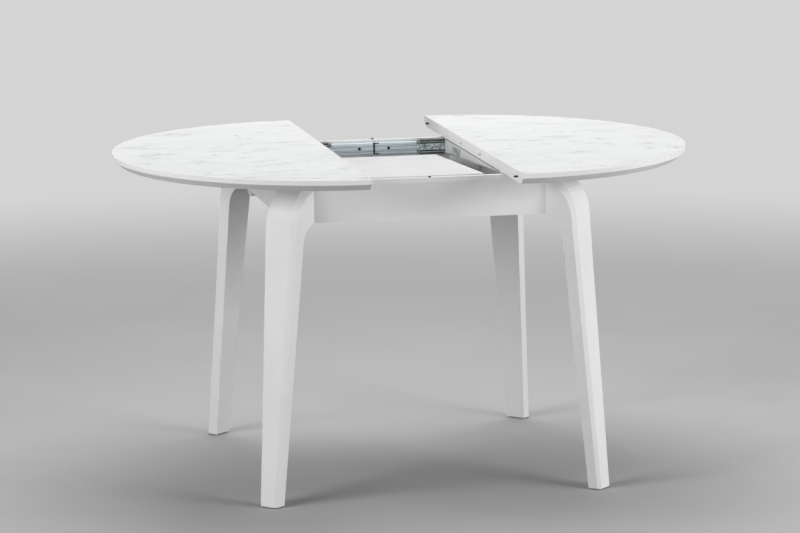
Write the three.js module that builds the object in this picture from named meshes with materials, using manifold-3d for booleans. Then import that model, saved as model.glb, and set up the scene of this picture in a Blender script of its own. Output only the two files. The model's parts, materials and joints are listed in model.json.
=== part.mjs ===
// Extendable round dining table, drawn open with its folded spare leaf stored in the frame.
// Millimetres. +Z is up, X is the direction the two half tops slide apart, -Y is the front.
import * as THREE from 'three';
import Module from 'manifold-3d';

const wasm = await Module();
wasm.setup();

// ---------- driving sizes ----------
const TABLE_HEIGHT = 750;      // floor to the top surface
const TOP_DIAMETER = 1000;     // closed table top
const OPEN_GAP = 340;          // gap between the half tops when fully open, also the leaf width
const TOP_THICKNESS = 25;      // half top with its facing
const FACING = 1;              // marble-look facing sheet
const EDGE_BAND = 11;          // upright part of the rim, measured down from the top
const EDGE_UNDERCUT = 17;      // how far the rim slopes in below the band
const FRAME_HALF = 325;        // centre to the outer face of every apron
const APRON_THICKNESS = 20;
const APRON_HEIGHT = 92;
const APRON_CLEARANCE = 3;     // between apron tops and half tops, filled by slip strips
const APRON_CHAMFER = [3.5, 9.5]; // inward, down: slope along the outer top edge
const LEG_WIDTH_TOP = 84;      // across the leg, at the knee and along its arm
const LEG_WIDTH_FOOT = 49;
const LEG_FACE_TOP = 60;       // outer face between the two chamfers
const LEG_FACE_FOOT = 36;
const LEG_CHAMFER = [24, 11, 7]; // chamfer depth at the arm end, at the knee and at the foot
const LEG_SPLAY = 0.098;       // outward run of the outer face per unit of height
const LEG_INNER_SPLAY = 0.1056;
const ARM_LENGTH = 74;         // arm, from the frame corner inward along the diagonal
const KNEE_CENTRE = 61;        // centre of the outer knee curve, inward from the frame corner
const KNEE_INNER_RADIUS = 51.4;
const KNEE_INNER_CENTRE = 50;
const SLIP_STRIP = [14, 150]; // across, along
const FOOT_GLIDE = [9, 3];     // radius, height
const BLOCK_DEPTH = 36;        // corner block, along the diagonal
const BLOCK_LEVELS = [6, 49];  // bottom and top, above the frame's lower edge
const BUMPER_RADIUS = 3;
const BOLT_RADIUS = 4;
const BOLT_LENGTH = 64;
const BOLT_LEVEL = 26;         // above the frame's lower edge
const BOLT_HEAD = [7.5, 7];    // radius, height
const WASHER = [11, 1.8];      // radius, thickness
const SLIDE_DROP = 23.2;       // from the half tops' underside to the middle of the slides
const RAIL_HEIGHT = 28.4;      // fixed inner rail of a slide
const RAIL_DEPTH = 9;
const SHEET = 1.5;             // steel sheet of every slide section
const SECTION_STEP = 2.3;      // each slide section is this much taller per side than the last
const RAIL_SPAN = [1.9, 145];  // along X, from the middle of the table
const RAIL_NECK = [105, 111.5]; // notched stretch near the outer end of a rail
const NECK_HALF = 6.5;         // half height left there
const RAIL_HOLES = [[36, 4], [123, 1.9]];    // place along X, radius
const CHANNEL_HOLES = [[123.4, 1.8], [160, 1.8]];
const RUNNER_HOLES = [[195, 2.2], [221, 2.2]];
const STOP_ARM = 11.5;         // reach of the stop's two arms over the right rail
const SLIDE_TO_CORNER = 87;    // keeps the slides clear of the leg arms
const CHANNEL_LENGTH = 126;
const RUNNER_SETBACK = 8;      // from the split edge to the runner's end
const BATTEN_SETBACK = 4;
const BATTEN_TAIL = 8;         // batten beyond the runner's outer end
const BATTEN_WIDTH = 20;
const BATTEN_HEIGHT = 38;
const CROSS_BOARD = 18;        // thickness of the board along each split edge
const CROSS_BOARD_SETBACK = 6; // from the split edge to the face of that board
const CROSS_BOARD_DROP = 4;    // shadow gap between that board and the half top
const CROSS_BOARD_LIFT = 2;    // its clearance over the stored leaf
const CATCH_SPAN = [133, 203]; // along Y
const CATCH_THICKNESS = 5;
const CATCH_MARGIN = [1.5, 8]; // board left below and above the catch
const CATCH_SLOT = [38, 9, 3.8];    // length, height, depth
const CATCH_SLIT = [6, 3];     // from the rear end of the catch to the slit, its width
const TONGUE_PLATE = [46, 17, 1.5]; // length, height, thickness
const TONGUE = [24, 6, 9];     // length and height at its root, reach from the board
const TONGUE_TAPER = [4, 1.6]; // how much shorter and lower the tip is
const LEAF_PANEL_LENGTH = 500;
const LEAF_PANEL_GAP = 0.6;    // between the folded panels
const LEAF_SIDE_PLAY = 0.5;
const LEAF_SHIFT = -26;        // the loose leaf lies this far off the middle
const LEAF_LIFT = 8;           // its rear edge above the frame's lower edge
const LEAF_RISE = 0.053;       // the stored leaf rises toward the front by this much per unit
const REST_REAR = [205, 255, 18];   // from y, to y, thickness under the aprons
const REST_PAD_HALF = 220;     // raised middle of the rear rest, half its length
const REST_FRONT = [-180, -160];    // from y, to y
const HINGE_FROM_MIDDLE = 115; // along X, from the leaf's middle
const HINGE_LENGTH = 60;
const HINGE_HALF_HEIGHT = 13;
const HINGE_SHEET = 1.4;
const HINGE_BARREL = 3;        // radius
const PIN_IN = 12;             // depth of the alignment pins in the right half
const PIN_FROM_RIM = 50;       // outer pins and holes
const PIN_INNER_Y = 95;        // inner ones, from the middle
const OUTER_PIN = [2.5, 8.5];  // radius, reach
const INNER_PIN = [3.2, 6];
const GAP = 0.3;               // fitting gap between separate pieces

// ---------- derived sizes ----------
const R = TOP_DIAMETER / 2;
const HALF_GAP = OPEN_GAP / 2;
const UNDERSIDE = TABLE_HEIGHT - TOP_THICKNESS;
const FRAME_TOP = UNDERSIDE - APRON_CLEARANCE;
const FRAME_BOTTOM = FRAME_TOP - APRON_HEIGHT;
const FRAME_INNER = FRAME_HALF - APRON_THICKNESS;
const BOARD_TOP = TABLE_HEIGHT - FACING;
const SLIDE_LEVEL = UNDERSIDE - SLIDE_DROP;
const SLIDE_END = FRAME_HALF - SLIDE_TO_CORNER;
const CHANNEL_SPAN = [SLIDE_END - CHANNEL_LENGTH, SLIDE_END];
const RUNNER_SPAN = [HALF_GAP + RUNNER_SETBACK, SLIDE_END];
const BATTEN_SPAN = [HALF_GAP + BATTEN_SETBACK, SLIDE_END + BATTEN_TAIL];
const LEAF_HALF_WIDTH = HALF_GAP - LEAF_SIDE_PLAY;
const LEAF_ANGLE = Math.atan(LEAF_RISE);
const LEAF_STACK = 2 * TOP_THICKNESS + LEAF_PANEL_GAP;
const LEAF_REAR = (LEAF_PANEL_LENGTH / 2) * Math.cos(LEAF_ANGLE);
const LEAF_REAR_LEVEL = FRAME_BOTTOM + LEAF_LIFT + GAP;
const leafBottom = (y) => LEAF_REAR_LEVEL + LEAF_RISE * (LEAF_REAR - y);
const leafTop = (y) => leafBottom(y) + LEAF_STACK / Math.cos(LEAF_ANGLE);

// ---------- materials ----------
const paint = (color, roughness, metalness = 0) =>
  new THREE.MeshStandardMaterial({ color, roughness, metalness });
const MARBLE = paint(0xe9e6e1, 0.25);
const WHITE = paint(0xf1efea, 0.4);
const BARE = paint(0xe4dfd4, 0.7);
const ZINC = paint(0xb9c2c6, 0.35, 0.9);
const DARK_STEEL = paint(0x3b4043, 0.45, 0.8);
const RUBBER = paint(0x222222, 0.9);
const NYLON = paint(0xd8d5cc, 0.5);

// ---------- shape helpers ----------
// A solid through rings of matching points; each ring is convex and ends become flat caps.
function loft(rings) {
  const n = rings[0].length;
  const index = [];
  rings.slice(1).forEach((ring, k) => {
    for (let i = 0; i < n; i += 1) {
      const j = (i + 1) % n;
      const [a, b, c, d] = [k * n + i, k * n + j, (k + 1) * n + j, (k + 1) * n + i];
      index.push(a, b, c, a, c, d);
    }
  });
  const last = (rings.length - 1) * n;
  for (let i = 1; i < n - 1; i += 1) index.push(0, i + 1, i, last, last + i, last + i + 1);
  const geometry = new THREE.BufferGeometry();
  geometry.setAttribute('position', new THREE.Float32BufferAttribute(rings.flat(2), 3));
  geometry.setIndex(index);
  return geometry;
}

function box(x0, x1, y0, y1, z0, z1) {
  const [xa, xb] = [Math.min(x0, x1), Math.max(x0, x1)];
  const [ya, yb] = [Math.min(y0, y1), Math.max(y0, y1)];
  const ring = (z) => [[xa, ya, z], [xb, ya, z], [xb, yb, z], [xa, yb, z]];
  return loft([ring(Math.min(z0, z1)), ring(Math.max(z0, z1))]);
}

// A section given as [y, z] corners, run along X from x0 to x1.
function barAlongX(section, x0, x1) {
  const shape = new THREE.Shape(section.map(([y, z]) => new THREE.Vector2(y, z)));
  const geometry = new THREE.ExtrudeGeometry(shape, { depth: x1 - x0, bevelEnabled: false });
  geometry.applyMatrix4(new THREE.Matrix4().set(0, 0, 1, x0, 1, 0, 0, 0, 0, 1, 0, 0, 0, 0, 0, 1));
  return geometry;
}

// A turned piece; the profile runs [radius, height] from the axis round to the axis.
function turned(profile, segments = 28) {
  const points = profile.map(([r, h]) => new THREE.Vector2(r, h));
  return new THREE.LatheGeometry(points, segments);
}

const rod = (radius, length) => turned([[0, 0], [radius, 0], [radius, length], [0, length]]);

function weld(geometry) {
  const source = geometry.index ? geometry.toNonIndexed() : geometry;
  const position = source.getAttribute('position');
  const seen = new Map();
  const points = [];
  const index = [];
  for (let t = 0; t < position.count; t += 3) {
    const corner = [0, 1, 2].map((k) => {
      const p = [position.getX(t + k), position.getY(t + k), position.getZ(t + k)];
      const key = p.map((value) => Math.round(value * 1e4)).join();
      if (!seen.has(key)) {
        seen.set(key, points.length / 3);
        points.push(...p);
      }
      return seen.get(key);
    });
    if (new Set(corner).size === 3) index.push(...corner);
  }
  const welded = new THREE.BufferGeometry();
  welded.setAttribute('position', new THREE.Float32BufferAttribute(points, 3));
  welded.setIndex(index);
  return welded;
}

function toSolid(geometry) {
  const welded = weld(geometry);
  return new wasm.Manifold(new wasm.Mesh({
    numProp: 3,
    vertProperties: new Float32Array(welded.getAttribute('position').array),
    triVerts: new Uint32Array(welded.index.array),
  }));
}

function fromSolid(body) {
  const mesh = body.getMesh();
  const result = new THREE.BufferGeometry();
  result.setAttribute('position', new THREE.Float32BufferAttribute(mesh.vertProperties, 3));
  result.setIndex(Array.from(mesh.triVerts));
  return result;
}

const cut = (geometry, tools) =>
  fromSolid(tools.reduce((solid, tool) => solid.subtract(toSolid(tool)), toSolid(geometry)));
const joined = (parts) =>
  fromSolid(parts.map(toSolid).reduce((solid, part) => solid.add(part)));

// Mirrored copy across X and/or Y that keeps its faces pointing out.
function mirrored(geometry, sx, sy) {
  const copy = weld(geometry);
  copy.scale(sx, sy, 1);
  if (sx * sy < 0) {
    const index = Array.from(copy.index.array);
    for (let i = 0; i < index.length; i += 3) {
      [index[i + 1], index[i + 2]] = [index[i + 2], index[i + 1]];
    }
    copy.setIndex(index);
  }
  return copy;
}

const group = new THREE.Group();
function add(name, geometry, material) {
  const finished = weld(geometry).toNonIndexed();
  finished.computeVertexNormals();
  const mesh = new THREE.Mesh(finished, material);
  mesh.name = name;
  group.add(mesh);
}

const SIDES = [['left', -1], ['right', 1]];
const ENDS = [['front', -1], ['rear', 1]];
const CORNERS = ENDS.flatMap(([end, sy]) => SIDES.map(([side, sx]) => [`${end}_${side}`, sx, sy]));

// ---------- half tops ----------
// Right-hand half disc, its straight edge on x = HALF_GAP.
function halfDisc(levels, steps = 72) {
  return loft(levels.map(([radius, z]) => {
    const ring = [];
    for (let i = 0; i <= steps; i += 1) {
      const a = -Math.PI / 2 + (Math.PI * i) / steps;
      ring.push([HALF_GAP + (i % steps ? radius * Math.cos(a) : 0), radius * Math.sin(a), z]);
    }
    return ring;
  }));
}

const pinLevel = (UNDERSIDE + BOARD_TOP) / 2;
// Rod running along +X from x.
function rodAlongX(radius, length, x, y, z) {
  return rod(radius, length).rotateZ(-Math.PI / 2).translate(x, y, z);
}

const topBoard = halfDisc([
  [R - EDGE_UNDERCUT, UNDERSIDE], [R, TABLE_HEIGHT - EDGE_BAND], [R, BOARD_TOP],
]);
const facing = halfDisc([[R, BOARD_TOP], [R, TABLE_HEIGHT - 0.4], [R - 0.6, TABLE_HEIGHT]]);
const PINS = [
  ['outer', R - PIN_FROM_RIM, ...OUTER_PIN, DARK_STEEL],
  ['inner', PIN_INNER_Y, ...INNER_PIN, NYLON],
];
const pinHoles = (depthFor) => PINS.flatMap(([, y, radius, reach]) => [-y, y].map((py) =>
  rodAlongX(radius + GAP, depthFor(reach) + 1, HALF_GAP - 1, py, pinLevel)));
const pin = (y, radius, reach) => turned([
  [0, 0], [radius, 0], [radius, PIN_IN + reach - 1], [radius - 1, PIN_IN + reach],
  [0, PIN_IN + reach],
]).rotateZ(Math.PI / 2).translate(HALF_GAP + PIN_IN, y, pinLevel);

// The right half carries the pins, and the left half has the holes that they enter.
const holeDepths = { left: (reach) => reach + 3, right: () => PIN_IN + GAP };
SIDES.forEach(([side, sx]) => {
  add(`${side}_top_board`, mirrored(cut(topBoard, pinHoles(holeDepths[side])), sx, 1), WHITE);
  add(`${side}_top_facing`, mirrored(facing, sx, 1), MARBLE);
});
ENDS.forEach(([end, sy]) => PINS.forEach(([kind, y, radius, reach, material]) => {
  add(`${end}_${kind}_pin`, pin(sy * y, radius, reach), material);
}));

// ---------- legs ----------
// Built in the diagonal plane of the rear right corner: r outward, s across, z up.
const DIAGONAL = Math.SQRT1_2;
const place = (r, s, z) => [FRAME_HALF + (r - s) * DIAGONAL, FRAME_HALF + (r + s) * DIAGONAL, z];
const mix = (a, b, t) => a + (b - a) * t;
const FOOT_Z = FOOT_GLIDE[1];

function legSection(outer, inner, t, chamfer) {
  const w = mix(LEG_WIDTH_TOP, LEG_WIDTH_FOOT, t) / 2;
  const a = mix(LEG_FACE_TOP, LEG_FACE_FOOT, t) / 2;
  const run = Math.hypot(outer[0] - inner[0], outer[1] - inner[1]);
  const step = (k) => outer[k] + ((inner[k] - outer[k]) * chamfer) / run;
  const shoulder = [step(0), step(1)];
  return [
    place(inner[0], w, inner[1]), place(inner[0], -w, inner[1]),
    place(shoulder[0], -w, shoulder[1]), place(outer[0], -a, outer[1]),
    place(outer[0], a, outer[1]), place(shoulder[0], w, shoulder[1]),
  ];
}

function legBody() {
  const outerRadius = APRON_HEIGHT;
  const turn = Math.PI / 2 - Math.atan(LEG_SPLAY);
  const innerTurn = Math.PI / 2 - Math.atan(LEG_INNER_SPLAY);
  const outerAt = (q) => [
    -KNEE_CENTRE + outerRadius * Math.sin(q), FRAME_BOTTOM + outerRadius * Math.cos(q)];
  const innerAt = (q) => [
    -KNEE_INNER_CENTRE + KNEE_INNER_RADIUS * Math.sin(q),
    FRAME_BOTTOM - KNEE_INNER_RADIUS * (1 - Math.cos(q))];
  const sections = [legSection([-ARM_LENGTH, FRAME_TOP], [-ARM_LENGTH, FRAME_BOTTOM], 0,
    LEG_CHAMFER[0])];
  const steps = 12;
  for (let i = 0; i <= steps; i += 1) {
    const k = i / steps;
    const chamfer = mix(LEG_CHAMFER[0], LEG_CHAMFER[1], k ** 0.6);
    sections.push(legSection(outerAt(turn * k), innerAt(innerTurn * k), 0, chamfer));
  }
  const [kneeOut, kneeIn] = [outerAt(turn), innerAt(innerTurn)];
  const rows = 6;
  for (let i = 1; i <= rows; i += 1) {
    const t = i / rows;
    const zOut = mix(kneeOut[1], FOOT_Z, t);
    const zIn = mix(kneeIn[1], FOOT_Z, t);
    sections.push(legSection(
      [kneeOut[0] + LEG_SPLAY * (kneeOut[1] - zOut), zOut],
      [kneeIn[0] + LEG_INNER_SPLAY * (kneeIn[1] - zIn), zIn],
      t, mix(LEG_CHAMFER[1], LEG_CHAMFER[2], t)));
  }
  return loft(sections.reverse());
}

// ---------- leg fixings ----------
const boltLevel = FRAME_BOTTOM + BOLT_LEVEL;
const blockInner = -ARM_LENGTH - GAP - BLOCK_DEPTH;
// Turned piece laid along the diagonal, starting at r and pointing outward.
function alongDiagonal(geometry, r, z) {
  const [x, y] = place(r, 0, z);
  return geometry.rotateZ(-Math.PI / 2).rotateZ(Math.PI / 4).translate(x, y, z);
}
const boltHole = () =>
  alongDiagonal(rod(BOLT_RADIUS + GAP, BOLT_LENGTH + 6), blockInner - 1, boltLevel);
const bolt = alongDiagonal(turned([
  [0, -BOLT_HEAD[1]], [BOLT_HEAD[0] - 1, -BOLT_HEAD[1]], [BOLT_HEAD[0], 1 - BOLT_HEAD[1]],
  [BOLT_HEAD[0], -WASHER[1]], [WASHER[0], -WASHER[1]], [WASHER[0], 0],
  [BOLT_RADIUS, 0], [BOLT_RADIUS, BOLT_LENGTH], [0, BOLT_LENGTH],
]), blockInner - 0.1, boltLevel);
const leg = cut(legBody(), [boltHole()]);

function cornerBlock() {
  const halfAt = (r) => -r - APRON_THICKNESS * Math.SQRT2 - GAP;
  const outer = -ARM_LENGTH - GAP;
  const ring = (z) => [
    place(blockInner, -halfAt(blockInner), z), place(outer, -halfAt(outer), z),
    place(outer, halfAt(outer), z), place(blockInner, halfAt(blockInner), z),
  ];
  return cut(loft(BLOCK_LEVELS.map((z) => ring(FRAME_BOTTOM + z))), [boltHole()]);
}
const block = cornerBlock();
const kneeHeightOut = FRAME_BOTTOM + APRON_HEIGHT * Math.sin(Math.atan(LEG_SPLAY));
const kneeHeightIn = FRAME_BOTTOM - KNEE_INNER_RADIUS * (1 - Math.sin(Math.atan(LEG_INNER_SPLAY)));
const footOuter = -KNEE_CENTRE + APRON_HEIGHT * Math.cos(Math.atan(LEG_SPLAY))
  + LEG_SPLAY * (kneeHeightOut - FOOT_Z);
const footInner = -KNEE_INNER_CENTRE + KNEE_INNER_RADIUS * Math.cos(Math.atan(LEG_INNER_SPLAY))
  + LEG_INNER_SPLAY * (kneeHeightIn - FOOT_Z);
const glideCentre = place((footOuter + footInner) / 2, 0, 0);

CORNERS.forEach(([corner, sx, sy]) => {
  add(`${corner}_leg`, mirrored(leg, sx, sy), WHITE);
  add(`${corner}_corner_block`, mirrored(block, sx, sy), BARE);
  add(`${corner}_leg_bolt`, mirrored(bolt, sx, sy), ZINC);
  const glide = turned([[0, 0], [FOOT_GLIDE[0] - 1, 0], [FOOT_GLIDE[0], 1],
    [FOOT_GLIDE[0], FOOT_GLIDE[1]], [0, FOOT_GLIDE[1]]]).rotateX(Math.PI / 2);
  add(`${corner}_foot_glide`, mirrored(
    glide.translate(glideCentre[0], glideCentre[1], 0), sx, sy), NYLON);
});

// ---------- aprons ----------
// One apron along the rear side; its ends are mitred to the side faces of the leg arms.
function apron() {
  const [inward, down] = APRON_CHAMFER;
  const section = [
    [FRAME_INNER, FRAME_BOTTOM], [FRAME_HALF, FRAME_BOTTOM], [FRAME_HALF, FRAME_TOP - down],
    [FRAME_HALF - inward, FRAME_TOP], [FRAME_INNER, FRAME_TOP],
  ];
  const armSide = LEG_WIDTH_TOP / 2 * Math.SQRT2 + GAP;
  const end = (sign) => section.map(([y, z]) =>
    [sign * (FRAME_HALF - armSide - (FRAME_HALF - y)), y, z]);
  return loft([end(-1), end(1)]);
}
// A small bumper in the middle of each end apron takes the weight of the inserted leaf.
const bumper = turned([[0, 0], [BUMPER_RADIUS, 0], [BUMPER_RADIUS, APRON_CLEARANCE - 1],
  [BUMPER_RADIUS - 0.7, APRON_CLEARANCE - GAP], [0, APRON_CLEARANCE - GAP],
]).rotateX(Math.PI / 2).translate(
  0, FRAME_HALF - APRON_CHAMFER[0] - BUMPER_RADIUS - 1, FRAME_TOP);
ENDS.forEach(([end, sy]) => {
  add(`${end}_apron`, mirrored(apron(), 1, sy), WHITE);
  add(`${end}_bumper`, mirrored(bumper, 1, sy), RUBBER);
});
SIDES.forEach(([side, sx]) => {
  add(`${side}_apron`, apron().rotateZ((-sx * Math.PI) / 2), WHITE);
  const [across, along] = SLIP_STRIP;
  const x = (FRAME_INNER + FRAME_HALF - APRON_CHAMFER[0]) / 2;
  add(`${side}_slip_strip`, box(sx * (x - across / 2), sx * (x + across / 2),
    -along / 2, along / 2, FRAME_TOP, UNDERSIDE - GAP), NYLON);
});

// ---------- telescopic slides, described for the rear right one ----------
const railHalf = RAIL_HEIGHT / 2;
const railFace = FRAME_INNER - RAIL_DEPTH;
const at = (z) => SLIDE_LEVEL + z;

// Fixed rail: a ribbed hat section with its open side against the apron.
const groove = 1.1;
const railSection = [
  [FRAME_INNER, at(-railHalf)], [railFace + 1, at(-railHalf)], [railFace, at(1 - railHalf)],
  [railFace, at(-7.6)], [railFace + groove, at(-6.8)], [railFace + groove, at(-4.4)],
  [railFace, at(-3.6)], [railFace, at(3.6)], [railFace + groove, at(4.4)],
  [railFace + groove, at(6.8)], [railFace, at(7.6)], [railFace, at(railHalf - 1)],
  [railFace + 1, at(railHalf)], [FRAME_INNER, at(railHalf)],
  [FRAME_INNER, at(railHalf - SHEET)], [railFace + groove + SHEET, at(railHalf - SHEET)],
  [railFace + groove + SHEET, at(SHEET - railHalf)], [FRAME_INNER, at(SHEET - railHalf)],
].reverse();
const rodAlongY = (radius, length, x, y, z) => rod(radius, length).translate(x, y, z);
const holesFrom = (list, face) => list.map(([x, radius]) =>
  rodAlongY(radius, RAIL_DEPTH - 2, x, face - 2, SLIDE_LEVEL));
const neckCuts = [-1, 1].map((up) => box(...RAIL_NECK, railFace - 1, FRAME_INNER + 1,
  at(up * NECK_HALF), at(up * (railHalf + 1))));
const fixedRail = cut(barAlongX(railSection, ...RAIL_SPAN),
  [...holesFrom(RAIL_HOLES, railFace), ...neckCuts]);

// Sheet C-section facing the apron; rolled beads run along both edges of its web.
function channelSection(face, half, reach) {
  const bead = 0.9;
  return [
    [face, at(-half + 0.8)], [face + 0.8, at(-half)], [reach, at(-half)],
    [reach, at(-half + SHEET)], [face + bead + SHEET, at(-half + SHEET)],
    [face + bead + SHEET, at(half - SHEET)], [reach, at(half - SHEET)], [reach, at(half)],
    [face + 0.8, at(half)], [face, at(half - 0.8)], [face, at(half - 3.6)],
    [face + bead, at(half - 4.4)], [face + bead, at(-half + 4.4)], [face, at(-half + 3.6)],
  ];
}
const channelHalf = railHalf + SECTION_STEP;
const channelFace = railFace - 3.4;
const channel = cut(
  barAlongX(channelSection(channelFace, channelHalf, FRAME_INNER - 1), ...CHANNEL_SPAN),
  holesFrom(CHANNEL_HOLES, channelFace));

const runnerHalf = channelHalf + SECTION_STEP;
const runnerFace = channelFace - 3.2;
const runner = cut(
  barAlongX(channelSection(runnerFace, runnerHalf, FRAME_INNER - 2), ...RUNNER_SPAN),
  holesFrom(RUNNER_HOLES, runnerFace));

const battenInner = runnerFace - BATTEN_WIDTH;
const batten = box(...BATTEN_SPAN, battenInner, runnerFace - 0.05,
  UNDERSIDE - BATTEN_HEIGHT, UNDERSIDE);

CORNERS.forEach(([corner, sx, sy]) => {
  add(`${corner}_fixed_rail`, mirrored(fixedRail, sx, sy), ZINC);
  add(`${corner}_slide_channel`, mirrored(channel, sx, sy), DARK_STEEL);
  add(`${corner}_runner`, mirrored(runner, sx, sy), ZINC);
  add(`${corner}_batten`, mirrored(batten, sx, sy), BARE);
});

// Closing stop between the two fixed rails of each slide; two short arms clasp the right rail.
const stopHalf = RAIL_SPAN[0] - GAP;
function slideStop() {
  const front = [railFace - 1.8, railFace - GAP];
  const parts = [box(-stopHalf, stopHalf, front[0], FRAME_INNER, at(-railHalf), at(railHalf))];
  [-1, 1].forEach((up) => parts.push(box(stopHalf - 0.5, STOP_ARM, ...front,
    at(up * railHalf), at(up * (railHalf - 2.6)))));
  return joined(parts);
}
ENDS.forEach(([end, sy]) => add(`${end}_slide_stop`, mirrored(slideStop(), 1, sy), RUBBER));

// ---------- boards along the split edges ----------
// The lower edge follows the tilt of the stored leaf so that the boards pass over it.
const boardFace = HALF_GAP + CROSS_BOARD_SETBACK;
const boardEnd = battenInner - GAP;
const boardTop = UNDERSIDE - CROSS_BOARD_DROP;
const boardBottom = (y) => leafTop(y) + CROSS_BOARD_LIFT;
function crossBoard() {
  const ring = (y) => [
    [boardFace, y, boardBottom(y)], [boardFace, y, boardTop],
    [boardFace + CROSS_BOARD, y, boardTop], [boardFace + CROSS_BOARD, y, boardBottom(y)],
  ];
  return loft([ring(-boardEnd), ring(boardEnd)]);
}
SIDES.forEach(([side, sx]) => add(`${side}_cross_board`, mirrored(crossBoard(), sx, 1), WHITE));

// Catch on the right board and the tongue that enters it from the left board.
const catchZ = [boardBottom(CATCH_SPAN[0]) + CATCH_MARGIN[0], boardTop - CATCH_MARGIN[1]];
const catchMiddle = [(CATCH_SPAN[0] + CATCH_SPAN[1]) / 2, (catchZ[0] + catchZ[1]) / 2];
const [slotHalfLength, slotHalfHeight] = [CATCH_SLOT[0] / 2, CATCH_SLOT[1] / 2];
const slotX = [boardFace - CATCH_THICKNESS - 1, boardFace - CATCH_THICKNESS + CATCH_SLOT[2]];
const slitEnd = CATCH_SPAN[1] - CATCH_SLIT[0];
const catchBody = cut(box(boardFace - CATCH_THICKNESS, boardFace, ...CATCH_SPAN, ...catchZ), [
  box(...slotX, catchMiddle[0] - slotHalfLength, catchMiddle[0] + slotHalfLength,
    catchMiddle[1] - slotHalfHeight, catchMiddle[1] + slotHalfHeight),
  box(...slotX, slitEnd - CATCH_SLIT[1], slitEnd, catchZ[0] + 2, catchZ[1] - 2),
]);
add('right_catch', catchBody, ZINC);
const tongueRing = (x, length, height) => [
  [x, catchMiddle[0] - length / 2, catchMiddle[1] - height / 2],
  [x, catchMiddle[0] + length / 2, catchMiddle[1] - height / 2],
  [x, catchMiddle[0] + length / 2, catchMiddle[1] + height / 2],
  [x, catchMiddle[0] - length / 2, catchMiddle[1] + height / 2],
];
const plateFace = TONGUE_PLATE[2] - boardFace;
add('left_catch_tongue', loft([
  tongueRing(-boardFace, TONGUE_PLATE[0], TONGUE_PLATE[1]),
  tongueRing(plateFace, TONGUE_PLATE[0], TONGUE_PLATE[1]),
  tongueRing(plateFace, TONGUE[0], TONGUE[1]),
  tongueRing(TONGUE[2] - boardFace, TONGUE[0] - TONGUE_TAPER[0], TONGUE[1] - TONGUE_TAPER[1]),
]), ZINC);

// ---------- stored spare leaf ----------
// Drawn level with its hinged rear edge as the origin, then tilted about that edge.
const leafPlace = (geometry) =>
  geometry.rotateX(-LEAF_ANGLE).translate(LEAF_SHIFT, LEAF_REAR, LEAF_REAR_LEVEL);
function leafPanel(z0) {
  const e = 1.2; // eased edges
  const ring = (z, inset) => {
    const [x, ya, yb] = [LEAF_HALF_WIDTH - inset, -LEAF_PANEL_LENGTH + inset, -inset];
    return [[-x, ya, z], [x, ya, z], [x, yb, z], [-x, yb, z]];
  };
  return leafPlace(loft([
    ring(z0, e), ring(z0 + e, 0), ring(z0 + TOP_THICKNESS - e, 0), ring(z0 + TOP_THICKNESS, e),
  ]));
}
add('leaf_lower_panel', leafPanel(0), WHITE);
add('leaf_upper_panel', leafPanel(TOP_THICKNESS + LEAF_PANEL_GAP), WHITE);
// Two leaves of sheet with a barrel between them, on the panels' rear edges.
const hingeSection = () => {
  const middle = LEAF_STACK / 2;
  const [low, high] = [middle - HINGE_HALF_HEIGHT, middle + HINGE_HALF_HEIGHT];
  const backFace = 0.1;
  const section = [[backFace, low], [HINGE_SHEET, low]];
  for (let i = 0; i <= 10; i += 1) {
    const a = -Math.PI / 2 + (Math.PI * i) / 10;
    section.push([HINGE_SHEET + HINGE_BARREL * Math.cos(a), middle + HINGE_BARREL * Math.sin(a)]);
  }
  return [...section, [HINGE_SHEET, high], [backFace, high]];
};
SIDES.forEach(([side, sx]) => add(`${side}_leaf_hinge`, leafPlace(barAlongX(
  hingeSection(), sx * HINGE_FROM_MIDDLE - HINGE_LENGTH / 2,
  sx * HINGE_FROM_MIDDLE + HINGE_LENGTH / 2)), ZINC));

// Rests for the leaf: a slat with a raised middle under the side aprons, and a bevelled rail.
const slatHalf = FRAME_HALF - 8;
const slatShape = new THREE.Shape([
  [-slatHalf, -REST_REAR[2]], [slatHalf, -REST_REAR[2]], [slatHalf, 0], [REST_PAD_HALF, 0],
  [REST_PAD_HALF, LEAF_LIFT], [-REST_PAD_HALF, LEAF_LIFT], [-REST_PAD_HALF, 0], [-slatHalf, 0],
].map(([x, z]) => new THREE.Vector2(x, FRAME_BOTTOM + z)));
add('rear_leaf_rest', new THREE.ExtrudeGeometry(slatShape, {
  depth: REST_REAR[1] - REST_REAR[0], bevelEnabled: false,
}).rotateX(Math.PI / 2).translate(0, REST_REAR[1], 0), BARE);
const restHalf = FRAME_INNER - GAP;
const restRing = (x) => [
  [x, REST_FRONT[0], FRAME_BOTTOM], [x, REST_FRONT[1], FRAME_BOTTOM],
  [x, REST_FRONT[1], leafBottom(REST_FRONT[1]) - GAP],
  [x, REST_FRONT[0], leafBottom(REST_FRONT[0]) - GAP],
];
add('front_leaf_rest', loft([restRing(-restHalf), restRing(restHalf)]), BARE);

export default group;
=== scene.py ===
"""Looks for the extendable round dining table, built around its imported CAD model."""

import json
import math

import bmesh
import bpy
from mathutils import Matrix, Vector


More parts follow.
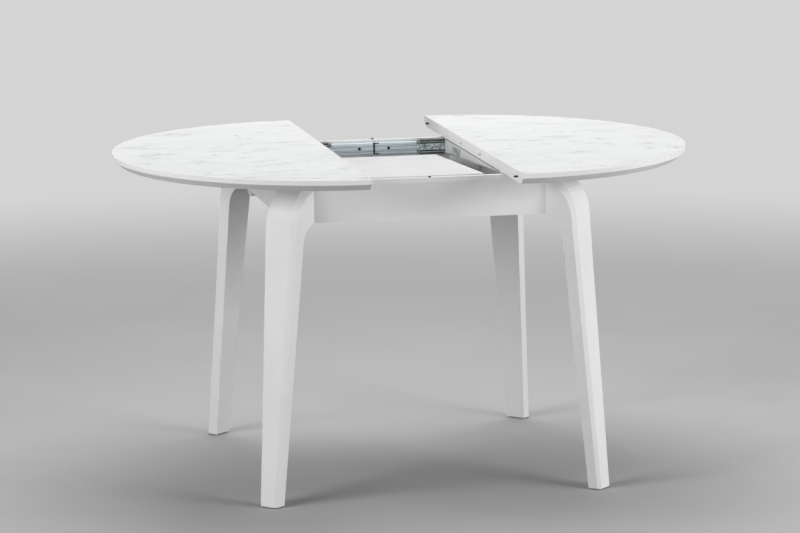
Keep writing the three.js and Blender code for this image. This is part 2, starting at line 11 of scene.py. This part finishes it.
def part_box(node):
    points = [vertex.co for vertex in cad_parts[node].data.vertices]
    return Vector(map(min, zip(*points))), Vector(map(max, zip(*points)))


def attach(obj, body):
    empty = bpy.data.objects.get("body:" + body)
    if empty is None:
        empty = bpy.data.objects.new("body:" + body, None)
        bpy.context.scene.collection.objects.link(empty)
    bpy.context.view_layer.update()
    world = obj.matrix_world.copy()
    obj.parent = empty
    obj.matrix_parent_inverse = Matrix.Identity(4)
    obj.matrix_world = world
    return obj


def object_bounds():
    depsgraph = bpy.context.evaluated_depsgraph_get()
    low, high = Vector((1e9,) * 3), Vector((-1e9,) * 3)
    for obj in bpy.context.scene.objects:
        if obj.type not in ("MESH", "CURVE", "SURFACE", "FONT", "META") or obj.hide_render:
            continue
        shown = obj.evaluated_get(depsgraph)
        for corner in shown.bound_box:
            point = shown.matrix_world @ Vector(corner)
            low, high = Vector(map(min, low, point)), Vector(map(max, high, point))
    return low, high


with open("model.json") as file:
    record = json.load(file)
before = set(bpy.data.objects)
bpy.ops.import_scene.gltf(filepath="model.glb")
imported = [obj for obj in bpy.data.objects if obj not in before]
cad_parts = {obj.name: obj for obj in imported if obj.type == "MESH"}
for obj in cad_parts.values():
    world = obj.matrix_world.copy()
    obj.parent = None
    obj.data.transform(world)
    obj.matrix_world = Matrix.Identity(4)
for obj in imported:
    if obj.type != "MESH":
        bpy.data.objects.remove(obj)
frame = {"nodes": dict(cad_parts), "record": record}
CAD_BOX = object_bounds()
TABLE_HEIGHT = CAD_BOX[1].z
RAIL_LOW, RAIL_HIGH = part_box("rear_right_fixed_rail")
SLIDE_LEVEL = (RAIL_LOW.z + RAIL_HIGH.z) / 2
RIB_LEVELS = (0.0039, 0.0073)         # edges of a rail's pressed ribs, from its middle line
# Half width of each painted shade line along a rib edge.
RIB_SHADE_HALF = 0.0006
WEB_HALF = 0.0078                     # half height of a slide channel's plain web
LIP_HIGHLIGHT_RISE = 0.0042                     # from the web's edge to the painted highlight on the rolled edge above the balls
LIP_HIGHLIGHT_HALF = 0.0011

# Rounding on edges, in metres: (text in the node's name, width, segments).
EDGE_ROUNDING = [
    ("_top_board", 0.0012, 3),
    ("_top_facing", 0.0002, 1),
    ("_leg_bolt", 0.0004, 2),
    ("_leg", 0.0022, 3),
    ("_apron", 0.0012, 3),
    ("_cross_board", 0.0008, 2),
    ("leaf_", 0.0008, 2),
    ("_batten", 0.0008, 2),
    ("_corner_block", 0.001, 2),
    ("_slide_stop", 0.0006, 2),
    ("_catch", 0.0004, 2),
    ("_foot_glide", 0.0004, 2),
    ("_slip_strip", 0.0004, 2),
]
SMOOTH_ANGLE = math.radians(30)

# Small fittings, in metres. A screw's socket and head steps are shares of its radius.
HEAD_STEPS = [(1.0, 0.0), (1.0, 0.12), (0.82, 0.26), (0.62, 0.30)]    # (radius, height)
SOCKET_SHARE = 0.45
SOCKET_FLOOR = 0.05            # height of the socket's floor
HEAD_SIDES = 24
RAIL_SCREW_X = 0.036           # from the middle of the table, at the rails' large holes
RAIL_SCREW_SUNK = 0.0048       # underside of the head, behind the rail's face
RAIL_SCREW_RADIUS = 0.0036
BATTEN_SCREW_RADIUS = 0.0042
BATTEN_SCREW_SHARES = (0.2, 0.8)     # along the batten
REST_SCREW_INSET = 0.012
REST_SCREW_SHARES = (0.25, 0.75)     # across the rest
SPRING_WIRE = 0.0006           # radius of the catch's spring wire
SPRING_BELOW_TOP = 0.0013      # its middle line under the catch's top edge
SPRING_RUN = (0.014, 0.049)    # ends of its level part, from the catch's rear edge
SPRING_LEG = (0.017, 0.006)    # ends of its slanting leg, from the catch's front edge
STRIP_INSET = 0.0008           # of the strip behind the split edge
STRIP_WIDTH = 0.003
STRIP_DROP = 0.0028
STRIP_SLOPE = 0.7              # share of its width and drop at which its corner is cut off


# ---------- node helpers ----------
MIX_COLOURS = (6, 7)           # sockets of the two colours on a Mix node, and of its result
MIX_RESULT = 2


class Builder:
    """Short calls for adding shader nodes to one material or world."""

    def __init__(self, owner):
        """owner is a new material or world."""
        owner.use_nodes = True
        self.owner = owner
        self.tree = owner.node_tree
        self.shader = self.tree.nodes.get("Principled BSDF")

    def set(self, **values):
        for key, value in values.items():
            self.shader.inputs[key.replace("_", " ")].default_value = value

    def link(self, out, into):
        self.tree.links.new(out, into)

    def node(self, kind, **settings):
        made = self.tree.nodes.new(kind)
        for key, value in settings.items():
            setattr(made, key, value)
        return made

    def coords(self, scale=(1, 1, 1), turn=(0, 0, 0)):
        mapping = self.node("ShaderNodeMapping")
        mapping.inputs["Scale"].default_value = scale
        mapping.inputs["Rotation"].default_value = turn
        self.link(self.node("ShaderNodeTexCoord").outputs["Object"], mapping.inputs["Vector"])
        return mapping.outputs["Vector"]

    def noise(self, vector, scale, detail=4, roughness=0.5, distortion=0.0):
        made = self.node("ShaderNodeTexNoise")
        made.inputs["Scale"].default_value = scale
        made.inputs["Detail"].default_value = detail
        made.inputs["Roughness"].default_value = roughness
        made.inputs["Distortion"].default_value = distortion
        self.link(vector, made.inputs["Vector"])
        return made.outputs["Fac"]

    def remap(self, value, low, high, to_low=0.0, to_high=1.0):
        made = self.node("ShaderNodeMapRange")
        made.interpolation_type = "SMOOTHSTEP"
        for key, number in zip(("From Min", "From Max", "To Min", "To Max"),
                               (low, high, to_low, to_high)):
            made.inputs[key].default_value = number
        self.link(value, made.inputs["Value"])
        return made.outputs["Result"]

    def maths(self, operation, a, b):
        made = self.node("ShaderNodeMath", operation=operation)
        for socket, value in zip(made.inputs, (a, b)):
            if isinstance(value, (int, float)):
                socket.default_value = value
            else:
                self.link(value, socket)
        return made.outputs[0]

    def blend(self, factor, a, b):
        made = self.node("ShaderNodeMix", data_type="RGBA")
        self.link(factor, made.inputs["Factor"])
        for index, value in zip(MIX_COLOURS, (a, b)):
            if isinstance(value, tuple):
                made.inputs[index].default_value = (*value, 1)
            else:
                self.link(value, made.inputs[index])
        return made.outputs[MIX_RESULT]

    def bump(self, height, strength, distance):
        made = self.node("ShaderNodeBump")
        made.inputs["Strength"].default_value = strength
        made.inputs["Distance"].default_value = distance
        self.link(height, made.inputs["Height"])
        self.link(made.outputs["Normal"], self.shader.inputs["Normal"])

    def colour(self, out):
        self.link(out, self.shader.inputs["Base Color"])

    def rough(self, out):
        self.link(out, self.shader.inputs["Roughness"])


def new_material(name):
    return Builder(bpy.data.materials.new(name))


# ---------- materials ----------
VEIN_DRIFT = math.radians(-24)      # direction of the main veins and of the fine wisps
WISP_DRIFT = math.radians(-32)
VEIN_SCALE = 4.6
VEIN_ROUGHNESS = 0.62


def vein_mask(b, vector, scale, width, detail, distortion):
    """Thin lines where a noise field crosses its middle value."""
    field = b.noise(vector, scale, detail, VEIN_ROUGHNESS, distortion)
    distance = b.maths("ABSOLUTE", b.maths("SUBTRACT", field, 0.5), 0)
    return b.remap(distance, 0.0, width, 1.0, 0.0)


def marble():
    """White marble-look facing: faint grey wisps that drift along X, a few of them darker."""
    b = new_material("marble_facing")
    b.set(Specular_IOR_Level=0.35)
    along = b.coords((1.0, 2.2, 1.0), (0, 0, VEIN_DRIFT))
    wisps = b.coords((1.0, 3.2, 1.0), (0, 0, WISP_DRIFT))
    main = vein_mask(b, along, VEIN_SCALE, 0.009, 8, 0.5)
    fine = vein_mask(b, wisps, 10.0, 0.012, 8, 0.8)
    broken = b.remap(b.noise(along, 13.0, 5, 0.6), 0.46, 0.62)
    speckled = b.remap(b.noise(wisps, 26.0, 4, 0.6), 0.50, 0.64)
    broad = b.coords((1.0, 1.6, 1.0), (0, 0, VEIN_DRIFT))
    patches = b.remap(b.noise(broad, 4.0, 3, 0.5), 0.44, 0.60)
    veins = b.maths("MAXIMUM", b.maths("MULTIPLY", main, broken),
                    b.maths("MULTIPLY", b.maths("MULTIPLY", fine, speckled), patches))
    halo = b.maths("MULTIPLY", vein_mask(b, along, VEIN_SCALE, 0.075, 7, 0.5), broken)
    cloud = b.remap(b.noise(along, 2.6, 8, 0.6), 0.35, 0.7)
    ground = b.blend(cloud, (0.842, 0.848, 0.848), (0.795, 0.802, 0.806))
    ground = b.blend(b.maths("MULTIPLY", halo, 0.34), ground, (0.60, 0.615, 0.625))
    b.colour(b.blend(b.maths("MULTIPLY", veins, 0.8), ground, (0.28, 0.295, 0.31)))
    b.rough(b.remap(b.noise(b.coords(), 60, 4), 0.3, 0.7, 0.50, 0.60))
    b.bump(b.noise(b.coords(), 900, 3), 0.04, 0.0002)
    return b.owner


def white_paint():
    """Sprayed satin paint: faint tint patches, fine orange peel and a trace of grain."""
    b = new_material("white_paint")
    b.set(Specular_IOR_Level=0.4)
    tint = b.noise(b.coords(), 6, 3)
    b.colour(b.blend(b.remap(tint, 0.3, 0.7), (0.85, 0.85, 0.845), (0.81, 0.812, 0.812)))
    b.rough(b.remap(b.noise(b.coords(), 45, 4), 0.3, 0.7, 0.36, 0.48))
    peel = b.noise(b.coords(), 420, 3, 0.55)
    grain = b.noise(b.coords((60, 60, 6)), 9, 4, 0.6)
    b.bump(b.maths("ADD", peel, b.maths("MULTIPLY", grain, 0.35)), 0.08, 0.0004)
    return b.owner


def bare_wood():
    """Whitewashed softwood, for the leaf's rests: long pale grain with short grey flecks."""
    b = new_material("bare_wood")
    b.set(Specular_IOR_Level=0.3)
    grain = b.noise(b.coords((2.0, 26, 26)), 6, 6, 0.6, 0.6)
    flecks = b.remap(b.noise(b.coords((30, 240, 240)), 3, 2), 0.62, 0.72)
    base = b.blend(b.remap(grain, 0.3, 0.7), (0.82, 0.80, 0.75), (0.72, 0.69, 0.62))
    b.colour(b.blend(b.maths("MULTIPLY", flecks, 0.4), base, (0.50, 0.46, 0.39)))
    b.rough(b.remap(grain, 0.3, 0.7, 0.55, 0.72))
    b.bump(grain, 0.2, 0.0005)
    return b.owner


def level_band(b, half_height, edge=0.0003):
    """1 within half_height of the slides' middle line, 0 above and below."""
    axes = b.node("ShaderNodeSeparateXYZ")
    b.link(b.coords(), axes.inputs["Vector"])
    off = b.maths("ABSOLUTE", b.maths("SUBTRACT", axes.outputs["Z"], SLIDE_LEVEL), 0)
    return b.remap(off, half_height - edge, half_height + edge, 1.0, 0.0)


def level_line(b, height, half_width):
    """1 along a thin line at this height on each side of the slides' middle line."""
    outer, inner = level_band(b, height + half_width), level_band(b, height - half_width)
    return b.maths("SUBTRACT", outer, inner)


def zinc_steel():
    """Zinc-plated sheet: cool grey, fine rolling marks, and painted shade as thin dark lines along each
    pressed rib's edges.
    """
    b = new_material("zinc_steel")
    b.set(Metallic=0.2)
    rolled = b.noise(b.coords((10, 300, 300)), 5, 4, 0.6)
    blotch = b.remap(b.noise(b.coords(), 30, 5, 0.6, 0.6), 0.35, 0.7)
    plate = b.blend(blotch, (0.76, 0.86, 0.90), (0.69, 0.785, 0.83))
    # Painted shade: thin dark lines along the rib edges, where the creases fall into shade.
    rib_shade_lines = b.maths("ADD", *(level_line(b, level, RIB_SHADE_HALF) for level in RIB_LEVELS))
    b.colour(b.blend(b.maths("MULTIPLY", rib_shade_lines, 0.8), plate, (0.20, 0.24, 0.26)))
    b.rough(b.remap(rolled, 0.3, 0.7, 0.34, 0.46))
    b.bump(rolled, 0.015, 0.0002)
    return b.owner


def dark_steel():
    """Greased slide channel: speckled grey-green web between near-black ball tracks that are partly
    painted shade, with a painted highlight along each rolled edge.
    """
    b = new_material("dark_steel")
    b.set(Metallic=0.4)
    mottle = b.remap(b.noise(b.coords(), 210, 5, 0.75), 0.40, 0.60)
    web = b.blend(mottle, (0.78, 0.88, 0.87), (0.20, 0.25, 0.26))
    balls = b.node("ShaderNodeTexVoronoi")
    balls.inputs["Scale"].default_value = 230
    b.link(b.coords(), balls.inputs["Vector"])
    # Ball pattern in near-black, partly painted shade inside the rolled edges; pins away from the
    # slides take it as plain dark steel.
    track_dark_and_shade = b.blend(b.remap(balls.outputs["Distance"], 0.12, 0.5), (0.16, 0.19, 0.195),
                    (0.015, 0.018, 0.019))
    # Painted highlight: a bright line on the rolled edge above the ball tracks.
    lip_highlight = level_line(b, WEB_HALF + LIP_HIGHLIGHT_RISE, LIP_HIGHLIGHT_HALF)
    banded = b.blend(level_band(b, WEB_HALF), track_dark_and_shade, web)
    b.colour(b.blend(b.maths("MULTIPLY", lip_highlight, 0.85), banded, (0.50, 0.57, 0.59)))
    b.rough(b.remap(mottle, 0.0, 1.0, 0.38, 0.55))
    b.bump(mottle, 0.12, 0.0003)
    return b.owner


def plain_plastic(name, light, dark, rough_range, peel_scale):
    """Moulded plastic or rubber with a fine texture and a slight random change of tone."""
    b = new_material(name)
    b.colour(b.blend(b.remap(b.noise(b.coords(), 50, 3), 0.3, 0.7), light, dark))
    texture = b.noise(b.coords(), peel_scale, 3)
    b.rough(b.remap(texture, 0.3, 0.7, *rough_range))
    b.bump(texture, 0.1, 0.0003)
    return b.owner


FINISHES = {
    "marble_facing": marble(),
    "painted_wood": white_paint(),
    "bare_wood": bare_wood(),
    "zinc_steel": zinc_steel(),
    "dark_steel": dark_steel(),
    "rubber": plain_plastic("rubber", (0.014, 0.015, 0.016), (0.026, 0.027, 0.028),
                            (0.6, 0.8), 500),
    # Grey of the strips that paint the shadow line under each split edge.
    "painted_shadow_grey": plain_plastic("painted_shadow_grey", (0.16, 0.16, 0.16), (0.12, 0.12, 0.12),
                                (0.6, 0.8), 500),
    # Black screws and wire; in the rail holes this near-black also paints the shade.
    "black_fitting_and_hole_shade": plain_plastic("black_fitting_and_hole_shade", (0.018, 0.018, 0.019), (0.034, 0.034, 0.035),
                                 (0.35, 0.5), 600),
    "catch_plate": plain_plastic("catch_plate", (0.60, 0.66, 0.655), (0.50, 0.56, 0.555),
                                 (0.35, 0.5), 260),
    "nylon": plain_plastic("nylon", (0.70, 0.70, 0.68), (0.62, 0.62, 0.605), (0.4, 0.55), 300),
}

# Nodes whose look differs from the rest of their slot: (text in the node's name, finish).
# The blocks and battens that can be seen through the open gap are painted like the frame.
OWN_FINISH = [
    ("_catch", "catch_plate"),
    ("_corner_block", "painted_wood"),
    ("_batten", "painted_wood"),
]


# ---------- finishing the CAD nodes ----------
def round_edges(thing, width, segments):
    bevel = thing.modifiers.new("edges", "BEVEL")
    bevel.width = width
    bevel.segments = segments
    bevel.limit_method = "ANGLE"
    bevel.angle_limit = SMOOTH_ANGLE
    bevel.use_clamp_overlap = True
    bevel.harden_normals = True


def finish_nodes():
    slots = {part["node"]: part["material_slot"] for part in frame["record"]["subparts"]}
    for name, thing in frame["nodes"].items():
        thing.data.materials.clear()
        finish = next((own for text, own in OWN_FINISH if text in name), slots[name])
        thing.data.materials.append(FINISHES[finish])
        rounding = next((r for r in EDGE_ROUNDING if r[0] in name), None)
        if rounding:
            round_edges(thing, *rounding[1:])


finish_nodes()


# ---------- small fittings added to the CAD nodes ----------
def lofted(build, rings):
    """Closes a row of equal rings of points into one solid."""
    loops = [[build.verts.new(point) for point in ring] for ring in rings]
    count = len(loops[0])
    for low, high in zip(loops, loops[1:]):
        for i in range(count):
            j = (i + 1) % count
            build.faces.new((low[i], low[j], high[j], high[i]))
    build.faces.new(list(reversed(loops[0])))
    build.faces.new(loops[-1])


def mesh_from(build, name):
    mesh = bpy.data.meshes.new(name)
    build.to_mesh(mesh)
    build.free()
    return mesh


def add_fitting(name, data, finish, body):
    """Puts a mesh or curve in the scene as a piece that rides on this body."""
    data.materials.append(FINISHES[finish])
    made = bpy.data.objects.new(name, data)
    bpy.context.collection.objects.link(made)
    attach(made, body)


def hexagon(radius, angle):
    """Distance from the middle to the side of a hexagon, at this angle."""
    sector = math.pi / 3
    return radius * math.cos(sector / 2) / math.cos(angle % sector - sector / 2)


def screw(name, place, facing, radius, body):
    """Low domed screw head with a hexagon socket, its face looking along facing."""
    angles = [2 * math.pi * i / HEAD_SIDES for i in range(HEAD_SIDES)]
    rings = [[(radius * share, angle, radius * height) for angle in angles]
             for share, height in HEAD_STEPS]
    for height in (HEAD_STEPS[-1][1], SOCKET_FLOOR):
        rings.append([(hexagon(radius * SOCKET_SHARE, angle), angle, radius * height)
                      for angle in angles])
    build = bmesh.new()
    lofted(build, [[(reach * math.cos(angle), reach * math.sin(angle), height)
                    for reach, angle, height in ring] for ring in rings])
    turn = Vector(facing).to_track_quat("Z", "Y").to_matrix().to_4x4()
    build.transform(Matrix.Translation(place) @ turn)
    add_fitting(name, mesh_from(build, name), "black_fitting_and_hole_shade", body)


def rail_screws():
    """One screw in the large hole of each fixed rail, holding it to the apron; its near-black head also
    paints the shade deep in the hole.
    """
    for end in ("front", "rear"):
        for side, sign in (("left", -1), ("right", 1)):
            low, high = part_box(f"{end}_{side}_fixed_rail")
            inward = 1 if end == "front" else -1
            face = high.y if end == "front" else low.y
            place = (sign * RAIL_SCREW_X, face - inward * RAIL_SCREW_SUNK, SLIDE_LEVEL)
            screw(f"{end}_{side}_rail_screw", place, (0, inward, 0), RAIL_SCREW_RADIUS, "frame")


def batten_screws():
    """Two screws up through each batten into the half top above it."""
    for end in ("front", "rear"):
        for side in ("left", "right"):
            low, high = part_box(f"{end}_{side}_batten")
            middle = (low.y + high.y) / 2
            for k, share in enumerate(BATTEN_SCREW_SHARES):
                place = (low.x + (high.x - low.x) * share, middle, low.z)
                screw(f"{end}_{side}_batten_screw_{k + 1}", place, (0, 0, -1),
                      BATTEN_SCREW_RADIUS, f"{side}_half")


def rest_screws():
    """Two screws up through each end of the rear rest into the side aprons."""
    low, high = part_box("rear_leaf_rest")
    for side, x in (("left", low.x + REST_SCREW_INSET), ("right", high.x - REST_SCREW_INSET)):
        for k, share in enumerate(REST_SCREW_SHARES):
            place = (x, low.y + (high.y - low.y) * share, low.z)
            screw(f"rest_screw_{side}_{k + 1}", place, (0, 0, -1), BATTEN_SCREW_RADIUS, "frame")


def catch_spring():
    """Bent spring wire on the face of the catch: it runs above the slot, then slants down beside it."""
    low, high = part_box("right_catch")
    x, rim = low.x - SPRING_WIRE, high.z - SPRING_BELOW_TOP
    points = [(x, high.y - SPRING_RUN[0], rim), (x, high.y - SPRING_RUN[1], rim),
              (x, low.y + SPRING_LEG[0], rim - 2 * SPRING_BELOW_TOP),
              (x, low.y + SPRING_LEG[1], low.z + SPRING_BELOW_TOP)]
    line = bpy.data.curves.new("catch_spring", "CURVE")
    line.dimensions = "3D"
    line.bevel_depth = SPRING_WIRE
    line.bevel_resolution = 3
    line.use_fill_caps = True
    spline = line.splines.new("POLY")
    spline.points.add(len(points) - 1)
    for point, place in zip(spline.points, points):
        point.co = (*place, 1)
    add_fitting("catch_spring", line, "black_fitting_and_hole_shade", "right_half")


def shadow_strips():
    """Thin grey strip under each half top, just behind its split edge: a piece whose grey paints the
    shadow line in the gap there.
    """
    for side, sign in (("left", -1), ("right", 1)):
        board_low, board_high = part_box(f"{side}_cross_board")
        top_low, top_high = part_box(f"{side}_top_board")
        split = top_low.x if sign > 0 else -top_high.x
        far = STRIP_INSET + STRIP_WIDTH
        section = [(STRIP_INSET, 0), (far, 0), (far, -STRIP_DROP * STRIP_SLOPE),
                   (STRIP_INSET + STRIP_WIDTH * STRIP_SLOPE, -STRIP_DROP),
                   (STRIP_INSET, -STRIP_DROP)]
        build = bmesh.new()
        lofted(build, [[(sign * (split + x), y, top_low.z + z) for x, z in section]
                       for y in (board_low.y, board_high.y)])
        bmesh.ops.recalc_face_normals(build, faces=build.faces)
        name = f"{side}_shadow_strip"
        add_fitting(name, mesh_from(build, name), "painted_shadow_grey", f"{side}_half")


shadow_strips()
rail_screws()
batten_screws()
rest_screws()
catch_spring()


# ---------- stage, light and camera ----------
STAGE_RADIUS = 40.0
STAGE_SIDES = 96
FLOOR_TONE = (0.52, 0.52, 0.517)
FLOOR_TONE_DIM = (0.50, 0.50, 0.498)
FLOOR_BOUNCE = (0.10, 0.10, 0.105)    # what the floor throws back onto the table
FLOOR_FADE = (1.7, 4.4)               # metres from the middle of the table
BACKDROP_TONE = (0.66, 0.66, 0.655)
AMBIENT = (0.05, 0.051, 0.053)
LAMP_AIM = 0.7                        # share of the table's height
CAMERA_AZIMUTH = math.radians(-12.08)
CAMERA_ELEVATION = math.radians(10.12)
CAMERA_ROLL = math.radians(-0.38)
CAMERA_DISTANCE = 8.044
CAMERA_FOCUS = Vector((-0.00145, 0, 0.464))
CAMERA_LENS = 154.5                   # millimetres, on a 36 mm sensor


def seen_rays(b):
    """1 for camera rays and for what metal or glass shows, 0 for light on the table."""
    path = b.node("ShaderNodeLightPath")
    seen = b.maths("MAXIMUM", path.outputs["Is Camera Ray"], path.outputs["Is Glossy Ray"])
    return b.maths("MAXIMUM", seen, path.outputs["Is Transmission Ray"])


def stage():
    """A wide round floor, plain near the table and fading to the pale backdrop; clear from below."""
    build = bmesh.new()
    bmesh.ops.create_circle(build, cap_ends=True, segments=STAGE_SIDES, radius=STAGE_RADIUS)
    mesh = mesh_from(build, "stage")
    floor = bpy.data.objects.new("stage", mesh)
    bpy.context.collection.objects.link(floor)
    b = new_material("stage")
    b.set(Specular_IOR_Level=0.0, Roughness=0.95)
    shown = seen_rays(b)
    mottle = b.remap(b.noise(b.coords(), 2, 3), 0.3, 0.7)
    b.colour(b.blend(shown, FLOOR_BOUNCE, b.blend(mottle, FLOOR_TONE, FLOOR_TONE_DIM)))
    distance = b.node("ShaderNodeVectorMath", operation="LENGTH")
    b.link(b.coords(), distance.inputs[0])
    far = b.remap(distance.outputs["Value"], *FLOOR_FADE)
    glow = b.node("ShaderNodeEmission")
    glow.inputs["Color"].default_value = (*BACKDROP_TONE, 1)
    b.link(shown, glow.inputs["Strength"])
    mix = b.node("ShaderNodeMixShader")
    b.link(far, mix.inputs["Fac"])
    b.link(b.shader.outputs["BSDF"], mix.inputs[1])
    b.link(glow.outputs["Emission"], mix.inputs[2])
    from_below = b.node("ShaderNodeMixShader")
    b.link(b.node("ShaderNodeNewGeometry").outputs["Backfacing"], from_below.inputs["Fac"])
    b.link(mix.outputs["Shader"], from_below.inputs[1])
    b.link(b.node("ShaderNodeBsdfTransparent").outputs["BSDF"], from_below.inputs[2])
    b.link(from_below.outputs["Shader"], b.tree.nodes["Material Output"].inputs["Surface"])
    mesh.materials.append(b.owner)


def lamp(name, place, target, size, watts, mirrored=True):
    """A soft box; one that isn't mirrored lights the table without a glare on flat faces."""
    data = bpy.data.lights.new(name, "AREA")
    data.shape = "RECTANGLE"
    data.size, data.size_y = size
    data.energy = watts
    made = bpy.data.objects.new(name, data)
    made.visible_glossy = mirrored
    made.location = place
    made.rotation_mode = "QUATERNION"
    made.rotation_quaternion = (Vector(target) - Vector(place)).to_track_quat("-Z", "Y")
    bpy.context.collection.objects.link(made)


def lights():
    """Low soft boxes from both sides, an overhead panel and a little even light."""
    middle = (0, 0, TABLE_HEIGHT * LAMP_AIM)
    lamp("overhead", (0.4, 1.3, 3.9), middle, (3.2, 3.0), 122)
    lamp("left_soft_box", (-4.1, -2.0, 1.5), middle, (2.2, 2.4), 150, mirrored=False)
    lamp("right_front_soft_box", (3.4, -3.2, 1.3), middle, (2.0, 2.0), 132, mirrored=False)
    lamp("right_soft_box", (4.4, -1.6, 0.95), middle, (2.0, 1.6), 38, mirrored=False)
    world = bpy.data.worlds.new("studio")
    b = Builder(world)
    background = b.tree.nodes["Background"]
    b.link(b.blend(seen_rays(b), AMBIENT, BACKDROP_TONE), background.inputs["Color"])
    bpy.context.scene.world = world


def camera():
    """Long lens from the front left, a little above the table top."""
    level = math.cos(CAMERA_ELEVATION)
    back = Vector((math.sin(CAMERA_AZIMUTH) * level, -math.cos(CAMERA_AZIMUTH) * level,
                   math.sin(CAMERA_ELEVATION)))
    data = bpy.data.cameras.new("camera")
    data.sensor_width = 36.0
    data.lens = CAMERA_LENS
    data.clip_end = 100
    made = bpy.data.objects.new("camera", data)
    turned = (-back).to_track_quat("-Z", "Y").to_matrix().to_4x4()
    roll = Matrix.Rotation(CAMERA_ROLL, 4, "Z")
    made.matrix_world = Matrix.Translation(CAMERA_FOCUS + back * CAMERA_DISTANCE) @ turned @ roll
    bpy.context.collection.objects.link(made)
    bpy.context.scene.camera = made


stage()
lights()
camera()
bpy.context.scene.view_settings.view_transform = "Standard"
